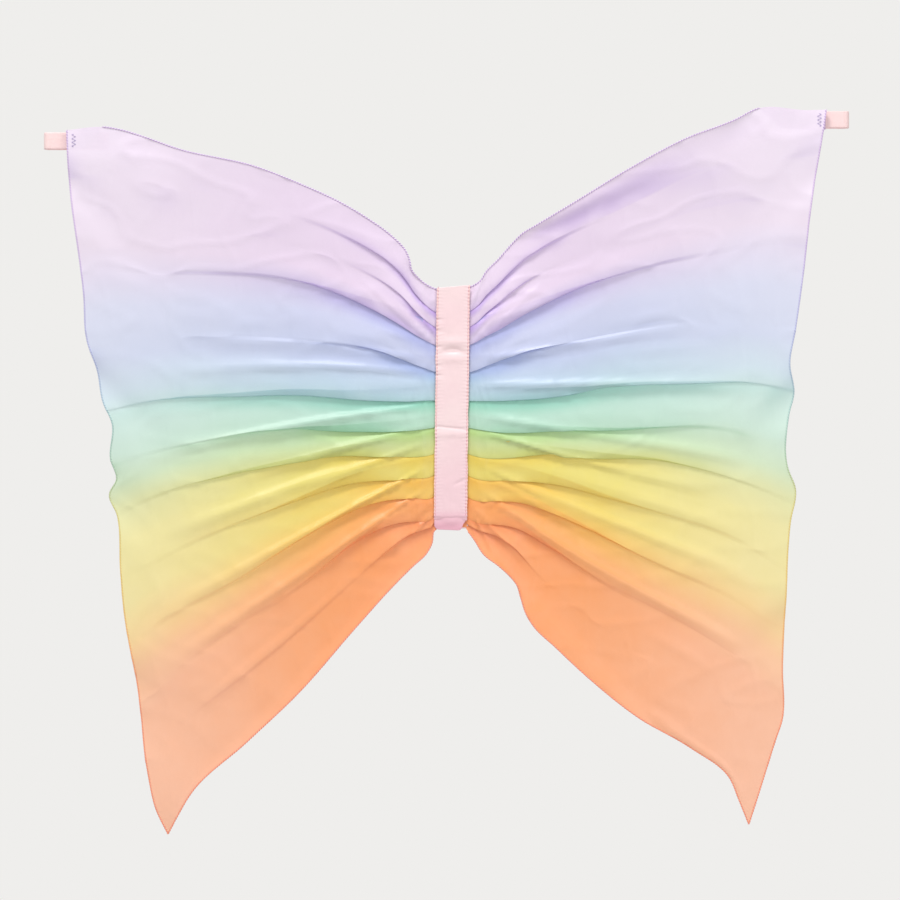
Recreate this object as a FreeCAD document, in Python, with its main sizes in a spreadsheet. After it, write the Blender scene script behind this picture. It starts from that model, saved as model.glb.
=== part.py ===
"""Costume fairy wings: two silk wings gathered under a centre ribbon and worn on elastic loops.

Millimetres. X runs along the wingspan, Y from the decorated side towards the wearer's back, Z up.
The origin is the middle of the back ribbon's outer face, which rests between the shoulder blades.
Each wing's outline is given as (out, up): the distance outwards from the centre line, and Z.
"""

import FreeCAD, Part
import math
import os
import Sketcher

V = FreeCAD.Vector

# alias, value, meaning
SIZES = [
    ("ribbon_width", 38.1, "satin ribbon over the gathers, 1.5 in"),
    ("ribbon_length", 280, "height of the gathered centre"),
    ("strap_exit", 7, "how much shorter the back ribbon is at each end, where the elastic comes out"),
    ("ribbon_thickness", 0.5, "one layer of satin ribbon"),
    ("silk_depth", 3.6, "depth taken up by the gathered folds"),
    ("hem_width", 2, "rolled hem, measured in the plane of the silk"),
    ("hem_depth", 2, "rolled hem, measured through the silk"),
    ("clearance", 0.3, "gap between a moving piece and its neighbour"),
    ("root_top", 137, "height where a wing's top edge meets the ribbon"),
    ("root_bottom", -138, "height where a wing's bottom edge meets the ribbon"),
    ("left_fold_out", 400, "left wing: where the top edge starts to fold over the elastic"),
    ("left_fold_up", 322, ""),
    ("left_corner_out", 443.5, "left wing: top outer corner"),
    ("left_corner_up", 320, ""),
    ("left_tip_out", 327.5, "left wing: bottom tip"),
    ("left_tip_up", -489, ""),
    ("left_cuff_up", 307.5, "left wrist loop: height of its middle"),
    ("right_fold_out", 350, "right wing: where the top edge starts to fold over the elastic"),
    ("right_fold_up", 344, ""),
    ("right_corner_out", 428, "right wing: top outer corner"),
    ("right_corner_up", 343, ""),
    ("right_tip_out", 339.5, "right wing: bottom tip"),
    ("right_tip_up", -478, ""),
    ("right_cuff_up", 332, "right wrist loop: height of its middle"),
    ("facing_thickness", 0.4, "silk corner turned to the back over the elastic"),
    ("facing_height", 22, ""),
    ("facing_slant", 24, "how far the facing's inner end leans outwards"),
    ("elastic_thickness", 1.2, "knitted elastic of the cuffs and shoulder loops"),
    ("cuff_width", 19, "wrist elastic, 3/4 in"),
    ("cuff_length", 75, "wrist loop lying flat, half of its way round"),
    ("cuff_depth", 12, "wrist loop, front to back"),
    ("cuff_reach", 28, "how far the wrist loop stands out past the silk"),
    ("strap_width", 16, "shoulder elastic, 5/8 in"),
    ("strap_gap", 2, "gap between the two shoulder loops"),
    ("strap_reach", 95, "how far a shoulder loop stands out behind the ribbon"),
    ("strap_stub", 1.2, "straight start of a shoulder loop as it leaves the back ribbon"),
    ("strap_bend", 3.5, "radius of the turn where a shoulder loop folds back"),
    ("tail_length", 22, "end of the shoulder elastic sewn under the back ribbon"),
    ("tack_bar", 0.8, "width of one bar of tacking thread"),
    ("tack_length", 12, "length of one bar of tacking thread"),
    ("tack_height", 2.4, "how deep the tacking goes into the layers"),
    ("zigzag_width", 4, "zigzag that holds a wrist loop, across"),
    ("zigzag_pitch", 2.4, "height of one zig"),
    ("thread", 0.5, "width of a line of sewing thread"),
    ("thread_proud", 0.3, "how far a stitch stands out of the cloth"),
    ("stitch_length", 2.6, "topstitching along the ribbon's edges"),
    ("stitch_pitch", 4, ""),
    ("stitch_inset", 1.8, "from the ribbon's edge to its topstitching"),
    ("gather_spread", 4, "distance between the two gathering threads"),
]

# points of each wing's edges between its corners, as (out, up)
TOP_EDGE = {
    "left": [(45, 160), (99, 218), (177, 258), (294, 292)],
    "right": [(51, 170), (95, 210), (144, 239), (203, 275), (267, 309)],
}
OUTER_EDGE = {
    "left": [(437, 225), (420, 90), (393, -15), (384, -140), (372, -265), (352, -405)],
    "right": [(417, 273), (403, 164), (387, 50), (384, -60), (386, -130), (380, -226), (377, -359)],
}
BOTTOM_EDGE = {
    "left": [(301, -442), (205, -352), (114, -254), (46, -184)],
    "right": [(318, -425), (274, -391), (184, -332), (92, -250), (66, -194)],
}
SIDE = {"left": -1, "right": 1}
ZIGS = 6

doc = FreeCAD.newDocument("fairy_wings")
sheet = doc.addObject("Spreadsheet::Sheet", "sizes")
for row, (alias, value, meaning) in enumerate(SIZES, start=1):
    sheet.set(f"A{row}", alias)
    sheet.set(f"B{row}", str(value))
    sheet.set(f"C{row}", meaning)
    sheet.setAlias(f"B{row}", alias)
doc.recompute()


def size(alias):
    """A driving dimension, read back from the sheet."""
    return float(sheet.get(alias))


# ---------------------------------------------------------------- bodies, sketches and pads


def new_body(label):
    body = doc.addObject("PartDesign::Body", label)
    body.Label = label
    return body


def origin_feature(body, role):
    return [o for o in body.Origin.OriginFeatures if o.Role == role][0]


def new_sketch(body, role):
    sketch = body.newObject("Sketcher::SketchObject", body.Label + "_sketch")
    sketch.AttachmentSupport = [(origin_feature(body, role), "")]
    sketch.MapMode = "FlatFace"
    return sketch


def add_polygon(sketch, points):
    """A closed outline of straight lines through (x, y) points."""
    for start, end in zip(points, points[1:] + points[:1]):
        sketch.addGeometry(Part.LineSegment(V(*start, 0), V(*end, 0)), False)


def add_rectangle(sketch, x, y, width, length):
    """A rectangle centred on (x, y)."""
    corners = [(-1, -1), (1, -1), (1, 1), (-1, 1)]
    add_polygon(sketch, [(x + i * width / 2, y + j * length / 2) for i, j in corners])


def add_driven_rectangle(sketch, width, length):
    """A rectangle centred on the sketch's origin, its sides driven by two expressions."""
    add_rectangle(sketch, 0, 0, 10, 20)
    for line in range(4):
        following = (line + 1) % 4
        sketch.addConstraint(Sketcher.Constraint("Coincident", line, 2, following, 1))
    for line in (0, 2):
        sketch.addConstraint(Sketcher.Constraint("Horizontal", line))
        sketch.addConstraint(Sketcher.Constraint("Vertical", line + 1))
    sketch.addConstraint(Sketcher.Constraint("Symmetric", 0, 1, 2, 1, -1, 1))
    wide = sketch.addConstraint(Sketcher.Constraint("DistanceX", 0, 1, 0, 2, 10))
    high = sketch.addConstraint(Sketcher.Constraint("DistanceY", 1, 1, 1, 2, 20))
    sketch.setExpression(f"Constraints[{wide}]", width)
    sketch.setExpression(f"Constraints[{high}]", length)


def add_curve(sketch, points):
    """A smooth curve through (x, y) points, or a straight line through two."""
    if len(points) == 2:
        sketch.addGeometry(Part.LineSegment(V(*points[0], 0), V(*points[1], 0)), False)
        return
    curve = Part.BSplineCurve()
    curve.interpolate([V(*p, 0) for p in points])
    sketch.addGeometry(curve, False)


def pad_both_ways(body, sketch, length):
    """Pads a sketch equally to both sides of its plane; length is an expression."""
    pad = body.newObject("PartDesign::Pad", body.Label + "_pad")
    pad.Profile = sketch
    pad.SideType = "Symmetric"
    pad.setExpression("Length", length)
    body.Tip = pad
    return pad


def place(body, x="0", y="0", z="0"):
    """Binds a body's place to expressions over the sheet."""
    for axis, value in zip("xyz", (x, y, z)):
        body.setExpression(f".Placement.Base.{axis}", value)


# ---------------------------------------------------------------- layers, front to back, along Y

BACK_RIBBON_Y = "-sizes.ribbon_thickness / 2"
SILK_Y = "-sizes.ribbon_thickness - sizes.silk_depth / 2"
FRONT_RIBBON_Y = "-sizes.ribbon_thickness * 3 / 2 - sizes.silk_depth"
TAIL_Y = "-sizes.ribbon_thickness - sizes.elastic_thickness / 2"
TACK_Y = "-sizes.ribbon_thickness - sizes.tack_height / 2"
STITCH_Y = "-sizes.ribbon_thickness * 2 - sizes.silk_depth - sizes.thread_proud / 2"
ZIGZAG_Y = "-sizes.ribbon_thickness - sizes.silk_depth - sizes.thread_proud / 2"
FACING_Y = "-sizes.ribbon_thickness + sizes.facing_thickness / 2"
CUFF_Y = "-sizes.ribbon_thickness + sizes.facing_thickness + sizes.clearance + sizes.cuff_depth / 2"


# ---------------------------------------------------------------- the gathered centre


def back_half():
    """Half the height of the back ribbon, which leaves room for the elastic to come out."""
    return size("ribbon_length") / 2 - size("strap_exit")


def make_ribbon(label, length, y):
    body = new_body(label)
    sketch = new_sketch(body, "XZ_Plane")
    add_driven_rectangle(sketch, "sizes.ribbon_width", length)
    pad_both_ways(body, sketch, "sizes.ribbon_thickness")
    place(body, y=y)
    return body


def make_gathered_silk():
    """The silk gathered between the ribbons, stepped at both ends to make room for the elastic."""
    body = new_body("gathered_silk")
    sketch = new_sketch(body, "YZ_Plane")
    front = -size("silk_depth") / 2
    back = size("silk_depth") / 2
    seat = back - size("elastic_thickness")
    relief = seat - size("clearance")
    tail = back_half() - size("tail_length")
    end = size("ribbon_length") / 2
    upper = [(back, 0), (back, tail), (seat, tail), (seat, back_half())]
    upper += [(relief, back_half()), (relief, end), (front, end)]
    lower = [(y, -z) for y, z in reversed(upper[1:])]
    add_polygon(sketch, upper + lower)
    pad_both_ways(body, sketch, "sizes.ribbon_width")
    place(body, y=SILK_Y)
    return body


def make_gathering_threads():
    """Two running threads that draw the silk together, inside the gathers."""
    body = new_body("gathering_threads")
    sketch = new_sketch(body, "XY_Plane")
    for side in (-1, 1):
        centre = V(side * size("gather_spread") / 2, 0, 0)
        sketch.addGeometry(Part.Circle(centre, V(0, 0, 1), size("thread") / 2), False)
    pad_both_ways(body, sketch, "sizes.ribbon_length - 2 * sizes.thread")
    place(body, y=SILK_Y)
    return body


def make_ribbon_stitches(side):
    """A row of topstitching along one long edge of the front ribbon."""
    body = new_body(f"{side}_ribbon_stitches")
    sketch = new_sketch(body, "XZ_Plane")
    add_driven_rectangle(sketch, "sizes.thread", "sizes.stitch_length")
    stitch = pad_both_ways(body, sketch, "sizes.thread_proud")
    count = int(size("ribbon_length") / size("stitch_pitch"))
    row = body.newObject("PartDesign::LinearPattern", body.Label + "_row")
    row.Originals = [stitch]
    row.Direction = (origin_feature(body, "Z_Axis"), [""])
    row.Mode = "Spacing"
    row.setExpression("Offset", "sizes.stitch_pitch")
    row.Occurrences = count
    body.Tip = row
    x = f"{SIDE[side]} * (sizes.ribbon_width / 2 - sizes.stitch_inset)"
    place(body, x=x, y=STITCH_Y, z=f"-sizes.stitch_pitch * {(count - 1) / 2}")
    return body


def strap_middle(side):
    """X of the middle of a shoulder elastic."""
    return SIDE[side] * (size("strap_gap") + size("strap_width")) / 2


def make_strap_tails(side):
    """The two sewn ends of one shoulder elastic, under the back ribbon's ends."""
    body = new_body(f"{side}_strap_tails")
    sketch = new_sketch(body, "XZ_Plane")
    middle = back_half() - size("tail_length") / 2
    for end in (-1, 1):
        add_rectangle(sketch, 0, end * middle, size("strap_width"), size("tail_length"))
    pad_both_ways(body, sketch, "sizes.elastic_thickness")
    place(body, x=f"{SIDE[side]} * (sizes.strap_gap + sizes.strap_width) / 2", y=TAIL_Y)
    return body


def make_strap_tacks():
    """Bars of thread that sew the elastic's ends to the gathers, two across each end."""
    body = new_body("strap_tacks")
    sketch = new_sketch(body, "XZ_Plane")
    for side in SIDE:
        for end in (-1, 1):
            for share in (0.3, 0.7):
                height = end * (back_half() - share * size("tail_length"))
                add_rectangle(sketch, strap_middle(side), height, size("tack_length"), size("tack_bar"))
    pad_both_ways(body, sketch, "sizes.tack_height")
    place(body, y=TACK_Y)
    return body


# ---------------------------------------------------------------- the wings


def offset_inwards(points, distance):
    """Moves the points of an edge sideways, to the right of the way the edge runs."""
    moved = []
    for i, (x, y) in enumerate(points):
        before = points[max(i - 1, 0)]
        after = points[min(i + 1, len(points) - 1)]
        length = math.dist(before, after)
        along = ((after[0] - before[0]) / length, (after[1] - before[1]) / length)
        moved.append((x + along[1] * distance, y - along[0] * distance))
    return moved


def inset_tip(before, tip, after, distance):
    """The point inside a sharp tip that is the same distance from both of its edges."""
    arms = []
    for point in (before, after):
        length = math.dist(point, tip)
        arms.append(((point[0] - tip[0]) / length, (point[1] - tip[1]) / length))
    middle = (arms[0][0] + arms[1][0], arms[0][1] + arms[1][1])
    length = math.hypot(*middle)
    half_angle = math.acos(length / 2)
    reach = distance / math.sin(half_angle)
    return (tip[0] + middle[0] / length * reach, tip[1] + middle[1] / length * reach)


def wing_edges(side):
    """The outer and inner line of each hem, as lists of (out, up) that run clockwise from the root."""
    hem = size("hem_width")
    hinge = hinge_out()
    fold = (size(f"{side}_fold_out"), size(f"{side}_fold_up"))
    corner = (size(f"{side}_corner_out"), size(f"{side}_corner_up"))
    tip = (size(f"{side}_tip_out"), size(f"{side}_tip_up"))
    top = [(hinge, size("root_top"))] + TOP_EDGE[side] + [fold]
    outer = [corner] + OUTER_EDGE[side] + [tip]
    bottom = [tip] + BOTTOM_EDGE[side] + [(hinge, size("root_bottom"))]
    top_in = offset_inwards(top, hem)
    outer_in = offset_inwards(outer, hem)
    bottom_in = offset_inwards(bottom, hem)
    top_in[0] = (hinge, size("root_top") - hem)
    outer_in[0] = (corner[0] - hem, corner[1])
    outer_in[-1] = inset_tip(outer[-2], tip, bottom[1], hem)
    bottom_in[0] = outer_in[-1]
    bottom_in[-1] = (hinge, size("root_bottom") + hem)
    return {"top": (top, top_in), "outer": (outer, outer_in), "bottom": (bottom, bottom_in)}


def root_out():
    """How far out a wing starts, just clear of the ribbon's edge."""
    return size("ribbon_width") / 2 + size("clearance")


def hinge_out():
    """How far out a wing's fold line is: the middle of its rounded root."""
    return root_out() + size("silk_depth") / 2


def mirrored(side, points):
    return [(SIDE[side] * x, y) for x, y in points]


def make_wing_silk(side):
    """One wing's silk inside its hems, with a full round along the root where it folds."""
    body = new_body(f"{side}_wing_silk")
    sketch = new_sketch(body, "XZ_Plane")
    edges = wing_edges(side)
    top, top_in = edges["top"]
    outer_in = edges["outer"][1]
    bottom_in = edges["bottom"][1]
    root_above = (root_out(), top_in[0][1])
    root_below = (root_out(), bottom_in[-1][1])
    for line in (
        [root_below, root_above],
        [root_above, top_in[0]],
        top_in,
        [top_in[-1], top[-1]],
        [top[-1], outer_in[0]],
        outer_in,
        bottom_in,
        [bottom_in[-1], root_below],
    ):
        add_curve(sketch, mirrored(side, line))
    pad = pad_both_ways(body, sketch, "sizes.silk_depth")
    doc.recompute()
    root_edges = []
    for number, edge in enumerate(pad.Shape.Edges, start=1):
        xs = [abs(v.Point.x) for v in edge.Vertexes]
        on_root = all(abs(x - root_out()) < 1e-6 for x in xs)
        if on_root and edge.Length > size("silk_depth") + 1:
            root_edges.append(f"Edge{number}")
    nose = body.newObject("PartDesign::Fillet", body.Label + "_root")
    nose.Base = (pad, root_edges)
    nose.setExpression("Radius", "sizes.silk_depth * 0.49")
    body.Tip = nose
    place(body, y=SILK_Y)
    return body


def make_hem(side, edge):
    """The rolled and overcast hem along one edge of a wing."""
    body = new_body(f"{side}_{edge}_hem")
    sketch = new_sketch(body, "XZ_Plane")
    line, line_in = wing_edges(side)[edge]
    for part in (line, [line[-1], line_in[-1]], line_in[::-1], [line_in[0], line[0]]):
        add_curve(sketch, mirrored(side, part))
    pad_both_ways(body, sketch, "sizes.hem_depth")
    place(body, y=SILK_Y)
    return body


def make_corner_facing(side):
    """The silk's top corner, turned to the back to cover the end of the wrist elastic."""
    body = new_body(f"{side}_corner_facing")
    sketch = new_sketch(body, "XZ_Plane")
    fold = (size(f"{side}_fold_out"), size(f"{side}_fold_up"))
    corner = wing_edges(side)["outer"][1][0]
    height = size("facing_height")
    low_in = (fold[0] + size("facing_slant"), fold[1] - height)
    low_out = (corner[0] - 1, corner[1] - height)
    add_polygon(sketch, mirrored(side, [fold, corner, low_out, low_in]))
    pad_both_ways(body, sketch, "sizes.facing_thickness")
    place(body, y=FACING_Y)
    return body


def make_wrist_tack(side):
    """A zigzag of thread that sews the wrist elastic to the wing's corner."""
    body = new_body(f"{side}_wrist_tack")
    sketch = new_sketch(body, "XZ_Plane")
    start = size(f"{side}_corner_out") - size("hem_width") - 2 * size("zigzag_width")
    bottom = size(f"{side}_cuff_up") - ZIGS * size("zigzag_pitch") / 2
    path = []
    for zig in range(ZIGS + 1):
        out = start + (zig % 2) * size("zigzag_width")
        path.append((out, bottom + zig * size("zigzag_pitch")))
    band = path + [(out + 2 * size("thread"), up) for out, up in reversed(path)]
    add_polygon(sketch, mirrored(side, band))
    pad_both_ways(body, sketch, "sizes.thread_proud")
    place(body, y=ZIGZAG_Y)
    return body


# ---------------------------------------------------------------- the elastic loops


def add_slot(sketch, length, depth):
    """A slot centred on the sketch's origin: two straight runs joined by half circles."""
    radius = depth / 2
    half = length / 2 - radius
    axis = V(0, 0, 1)
    right = Part.Circle(V(half, 0, 0), axis, radius)
    left = Part.Circle(V(-half, 0, 0), axis, radius)
    sketch.addGeometry(Part.ArcOfCircle(right, -math.pi / 2, math.pi / 2), False)
    sketch.addGeometry(Part.ArcOfCircle(left, math.pi / 2, 3 * math.pi / 2), False)
    for y in (-radius, radius):
        sketch.addGeometry(Part.LineSegment(V(-half, y, 0), V(half, y, 0)), False)


def make_cuff(side):
    """A wrist loop of knitted elastic, lying almost flat behind the wing's corner."""
    body = new_body(f"{side}_wrist_loop")
    sketch = new_sketch(body, "XY_Plane")
    wall = size("elastic_thickness")
    add_slot(sketch, size("cuff_length"), size("cuff_depth"))
    add_slot(sketch, size("cuff_length") - 2 * wall, size("cuff_depth") - 2 * wall)
    pad_both_ways(body, sketch, "sizes.cuff_width")
    out = f"(sizes.{side}_corner_out + sizes.cuff_reach - sizes.cuff_length / 2)"
    place(body, x=f"{SIDE[side]} * {out}", y=CUFF_Y, z=f"sizes.{side}_cuff_up")
    return body


def make_shoulder_strap(side):
    """A shoulder loop of knitted elastic: out of the back ribbon's top end, folded back, down one
    long arc behind it and into its bottom end."""
    body = new_body(f"{side}_shoulder_strap")
    sketch = new_sketch(body, "YZ_Plane")
    axis = V(0, 0, 1)
    exit_y = -size("ribbon_thickness") - size("elastic_thickness") / 2
    exit_z = back_half() + size("clearance")
    bend = size("strap_bend")
    bend_y = exit_y + bend
    bend_z = exit_z + size("strap_stub")
    # the long arc's circle holds both bends inside it and touches them where they end
    furthest = size("strap_reach") - bend
    arc_y = (furthest**2 - bend_y**2 - bend_z**2) / (2 * (furthest - bend_y))
    radius = size("strap_reach") - arc_y
    meets = math.atan2(bend_z, bend_y - arc_y)
    for wall in (-size("elastic_thickness") / 2, size("elastic_thickness") / 2):
        long_circle = Part.Circle(V(arc_y, 0, 0), axis, radius + wall)
        sketch.addGeometry(Part.ArcOfCircle(long_circle, -meets, meets), False)
        upper = Part.Circle(V(bend_y, bend_z, 0), axis, bend + wall)
        sketch.addGeometry(Part.ArcOfCircle(upper, meets, math.pi), False)
        lower = Part.Circle(V(bend_y, -bend_z, 0), axis, bend + wall)
        sketch.addGeometry(Part.ArcOfCircle(lower, math.pi, 2 * math.pi - meets), False)
        for end in (-1, 1):
            stub = [V(exit_y - wall, end * z, 0) for z in (exit_z, bend_z)]
            sketch.addGeometry(Part.LineSegment(*stub), False)
    half_wall = size("elastic_thickness") / 2
    for end in (-1, 1):
        cut = [V(exit_y + y, end * exit_z, 0) for y in (-half_wall, half_wall)]
        sketch.addGeometry(Part.LineSegment(*cut), False)
    pad_both_ways(body, sketch, "sizes.strap_width")
    place(body, x=f"{SIDE[side]} * (sizes.strap_gap + sizes.strap_width) / 2")
    return body


# ---------------------------------------------------------------- build, check and write


def build():
    parts = [
        make_ribbon("front_ribbon", "sizes.ribbon_length", FRONT_RIBBON_Y),
        make_ribbon("back_ribbon", "sizes.ribbon_length - 2 * sizes.strap_exit", BACK_RIBBON_Y),
        make_gathered_silk(),
        make_gathering_threads(),
        make_strap_tacks(),
    ]
    for side in SIDE:
        parts.append(make_ribbon_stitches(side))
        parts.append(make_strap_tails(side))
        parts.append(make_wing_silk(side))
        for edge in ("top", "outer", "bottom"):
            parts.append(make_hem(side, edge))
        parts.append(make_corner_facing(side))
        parts.append(make_wrist_tack(side))
        parts.append(make_cuff(side))
        parts.append(make_shoulder_strap(side))
    return parts


def check(parts):
    doc.recompute()
    for obj in doc.Objects:
        if "Invalid" in obj.State or "Error" in obj.State:
            raise RuntimeError(f"{obj.Label} did not recompute: {obj.State}")
    for part in parts:
        if part.Shape.isNull() or not part.Shape.isValid() or not part.Shape.Solids:
            raise RuntimeError(f"{part.Label} has no valid solid")


def write(parts):
    os.makedirs("parts", exist_ok=True)
    for part in parts:
        part.Shape.exportStep(os.path.join("parts", part.Label + ".step"))
        box = part.Shape.BoundBox
        low = f"{box.XMin:.1f} {box.YMin:.1f} {box.ZMin:.1f}"
        high = f"{box.XMax:.1f} {box.YMax:.1f} {box.ZMax:.1f}"
        solids = len(part.Shape.Solids)
        print(f"{part.Label}: {solids} solids, {low} to {high}, {part.Shape.Volume:.0f} mm3")


pieces = build()
check(pieces)
write(pieces)
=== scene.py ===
"""Costume fairy wings: the looks of the silk, ribbon, elastic and thread.

Sizes are written in millimetres and turned into metres when a mesh is made. The frame is the
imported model's: X along the wingspan, Y from the decorated side to the wearer, Z up.
A wing's edges are given as (out, up): the distance out from the centre line, and Z.
"""

import math

import bpy
import numpy as np
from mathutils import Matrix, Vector, noise


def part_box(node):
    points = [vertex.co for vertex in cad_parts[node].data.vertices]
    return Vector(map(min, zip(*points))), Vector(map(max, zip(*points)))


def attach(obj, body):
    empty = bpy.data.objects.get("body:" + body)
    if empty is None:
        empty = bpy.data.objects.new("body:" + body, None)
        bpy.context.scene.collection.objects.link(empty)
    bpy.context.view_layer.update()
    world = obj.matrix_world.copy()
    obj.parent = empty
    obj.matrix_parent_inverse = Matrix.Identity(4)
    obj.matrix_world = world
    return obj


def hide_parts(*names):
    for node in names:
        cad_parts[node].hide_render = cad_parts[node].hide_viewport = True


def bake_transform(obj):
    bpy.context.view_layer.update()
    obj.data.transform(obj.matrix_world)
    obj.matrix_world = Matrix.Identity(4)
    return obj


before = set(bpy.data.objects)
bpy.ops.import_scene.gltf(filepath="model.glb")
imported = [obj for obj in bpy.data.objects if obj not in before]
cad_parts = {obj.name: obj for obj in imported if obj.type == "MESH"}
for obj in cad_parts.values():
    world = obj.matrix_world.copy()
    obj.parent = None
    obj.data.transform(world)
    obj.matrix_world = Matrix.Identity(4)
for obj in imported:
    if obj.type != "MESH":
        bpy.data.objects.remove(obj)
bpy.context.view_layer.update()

MM = 0.001
SIDE = {"left": -1, "right": 1}

# ---- sizes, in millimetres

RIBBON_WIDTH = 38.1
RIBBON_HALF = 140  # half of the front ribbon's height, with its turned-under end
RIBBON_FRONT = -4.6  # Y of the front ribbon
BACK_RIBBON_HALF = 133
SATIN_THICK = 0.35
SILK_WIDTH = 445  # one wing's silk, from the ribbon outwards
SILK_HEIGHT = 835.0
SILK_BACK = -0.6  # Y of the side of the silk that faces the back ribbon
ROOT_OUT = 15  # how far out a wing's silk comes from under the ribbon
GATHERED_HEIGHT = 2 * RIBBON_HALF - 5  # what the silk's height is drawn in to
GATHERS_TOP, GATHERS_TALL = 136, 273  # the gathers between the ribbons
ELASTIC = 1.2  # its thickness
RIB_PITCH = 1.6  # from one rib of the elastic to the next
STRAP_BEND = 3.5  # the radius at which a shoulder elastic turns away from the ribbon
STRAP_GAP = 1.5  # from the back ribbon's end to that bend
TAIL_LENGTH = 22
STITCH_PITCH = 4
STITCH_LENGTH = 2.6
STITCH_INSET = 1.8
HEM_RADIUS = 0.62
CORNER_HEM_RADIUS = 0.4
HEM_TURN = 3.2  # one turn of the thread round a hem
HEM_STEP = 0.45  # between the rings that a hem is built from
FACING_HEIGHT = 22  # of the corner turned to the back
FACING_SLANT = 24
FOLD_OUT = {"left": 400, "right": 350}  # where the fold at each corner starts
TACK_INSET = 8  # from the corner to the middle of the zigzag, outwards
TACK_DROP = 12  # and downwards
FLOOR_LEVEL = -0.75  # metres
FLOOR_RADIUS = 0.9
VIEW_WIDTH = 1.0332
VIEW_DISTANCE = 3.0

# Each wing's edges: the top and the bottom from the ribbon outwards, the outer one downwards.
TOP_EDGE = {
    "left": [
        (ROOT_OUT, 135), (28, 140), (41, 150), (48, 159), (50, 169), (55, 181), (69, 196),
        (99, 218), (135, 239), (177, 258), (226, 277), (317, 298), (354, 311), (380, 319),
        (400, 322.5), (443.5, 319),
    ],
    "right": [
        (ROOT_OUT, 137), (31, 146), (38, 157), (51, 170), (66, 187), (79, 200), (95, 209.5),
        (144, 239), (203, 275), (267, 309), (323, 330.5), (350, 344), (407, 342), (428, 342.5),
    ],
}
OUTER_EDGE = {
    "left": [
        (443.5, 319), (440.5, 257), (431, 188), (424, 134), (419.5, 76), (409, 45), (402, 8),
        (391, -18), (393, -58), (386.5, -82), (395, -99), (386, -122), (381.5, -185),
        (377.5, -232), (362.5, -320), (350.5, -416), (340, -462), (327.5, -489),
    ],
    "right": [
        (428, 342.5), (422, 304), (408.5, 220), (402.5, 164), (392, 89), (385.5, 50), (391, 16),
        (385, -8), (383, -68), (392, -93), (386.5, -130), (381, -226), (378, -300),
        (377.5, -359), (370.5, -380), (358, -420), (339.5, -478),
    ],
}
BOTTOM_EDGE = {
    "left": [
        (ROOT_OUT, -136), (22, -141), (24.5, -155), (31, -167), (46, -181), (68, -203),
        (114, -254), (176, -325), (237, -383), (301, -442), (318, -471), (327.5, -489),
    ],
    "right": [
        (ROOT_OUT, -139), (24, -151), (35, -168), (52, -181), (66, -194), (73, -203),
        (77, -216), (84, -237), (92, -250), (117, -274), (149, -304), (214, -356), (274, -391),
        (317, -424), (329, -452), (339.5, -478),
    ],
}

# The knife pleats, from the top down: where each fold's edge lies in the silk's height, where it
# shows along the ribbon (both as shares from the top), how far out its line swings back to its own
# height, and how far out it stays folded over.
PLEATS = [
    (0.060, 0.100, 0.10, 0.16),
    (0.115, 0.165, 0.11, 0.10),
    (0.190, 0.238, 0.19, 0.36),
    (0.295, 0.350, 0.16, 0.50),
    (0.380, 0.465, 0.60, 0.85),
    (0.465, 0.575, 0.42, 0.55),
    (0.540, 0.683, 0.28, 0.70),
    (0.635, 0.772, 0.20, 0.55),
    (0.725, 0.862, 0.14, 0.50),
    (0.810, 0.948, 0.125, 0.28),
    (0.890, 0.975, 0.08, 0.10),
]
FOLD_ROWS = 5  # rows of the mesh round each turn of a fold
RUN_ROWS = 12  # and between two folds
COLUMNS = 150
SETTLE_SEED = {"left": 5, "right": 8}

# The soft dents and swells of the front ribbon: amount, how its line slants and curves across the
# ribbon, share of the ribbon's half width, height, and its reach across and down.
RIBBON_DENTS = [
    (-2.0, 0, 5, 0.05, 66, 0.62, 3.6),
    (1.3, 0, 0, 0.05, 76, 0.8, 5.0),
    (0.8, 0, 0, 0.05, 56, 0.8, 5.0),
    (-0.9, 2.0, 0, 0.0, -23, 1.5, 1.8),
    (0.8, 0, 0, 0.0, -30, 1.4, 4.0),
    (-0.7, -9, 0, 0.6, -90, 0.4, 2.2),
]
RIBBON_NOTCHES = (101, 88, 70, 48, 37)  # heights of the puckers along its left edge


# ---- curves and grids


def smooth_line(points, count=400):
    """Points spaced evenly along a smooth curve through the given ones."""
    knots = np.array(points, float)
    chord = np.linalg.norm(np.diff(knots, axis=0), axis=1)
    speed = np.diff(knots, axis=0) / chord[:, None]
    slope = np.empty_like(knots)
    slope[0], slope[-1] = speed[0], speed[-1]
    ahead = (chord[:-1] / (chord[:-1] + chord[1:]))[:, None]
    slope[1:-1] = speed[:-1] * (1 - ahead) + speed[1:] * ahead
    t = np.linspace(0, 1, 30, endpoint=False)[:, None]
    pieces = []
    for i, span in enumerate(chord):
        piece = (2 * t**3 - 3 * t**2 + 1) * knots[i] + (3 * t**2 - 2 * t**3) * knots[i + 1]
        piece += (t**3 - 2 * t**2 + t) * span * slope[i] + (t**3 - t**2) * span * slope[i + 1]
        pieces.append(piece)
    line = np.vstack(pieces + [knots[-1:]])
    return evenly(line, count)


def run_along(line):
    """The distance along a line at each of its points."""
    return np.concatenate([[0], np.cumsum(np.linalg.norm(np.diff(line, axis=0), axis=1))])


def evenly(line, count):
    """The same line with its points spaced evenly."""
    run = run_along(line)
    at = np.linspace(0, run[-1], count)
    return np.stack([np.interp(at, run, line[:, i]) for i in range(line.shape[1])], axis=1)


def length_of(line):
    """The whole length of a line."""
    return float(np.linalg.norm(np.diff(line, axis=0), axis=1).sum())


def metres(x, y, z):
    """Points in metres from their coordinates in millimetres."""
    return np.stack(np.broadcast_arrays(x, y, z), axis=-1) * MM


def soft_step(low, high, x):
    """0 below low, 1 above high, and a smooth rise between them."""
    t = np.clip((np.asarray(x, float) - low) / (high - low), 0, 1)
    return t * t * (3 - 2 * t)


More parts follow.
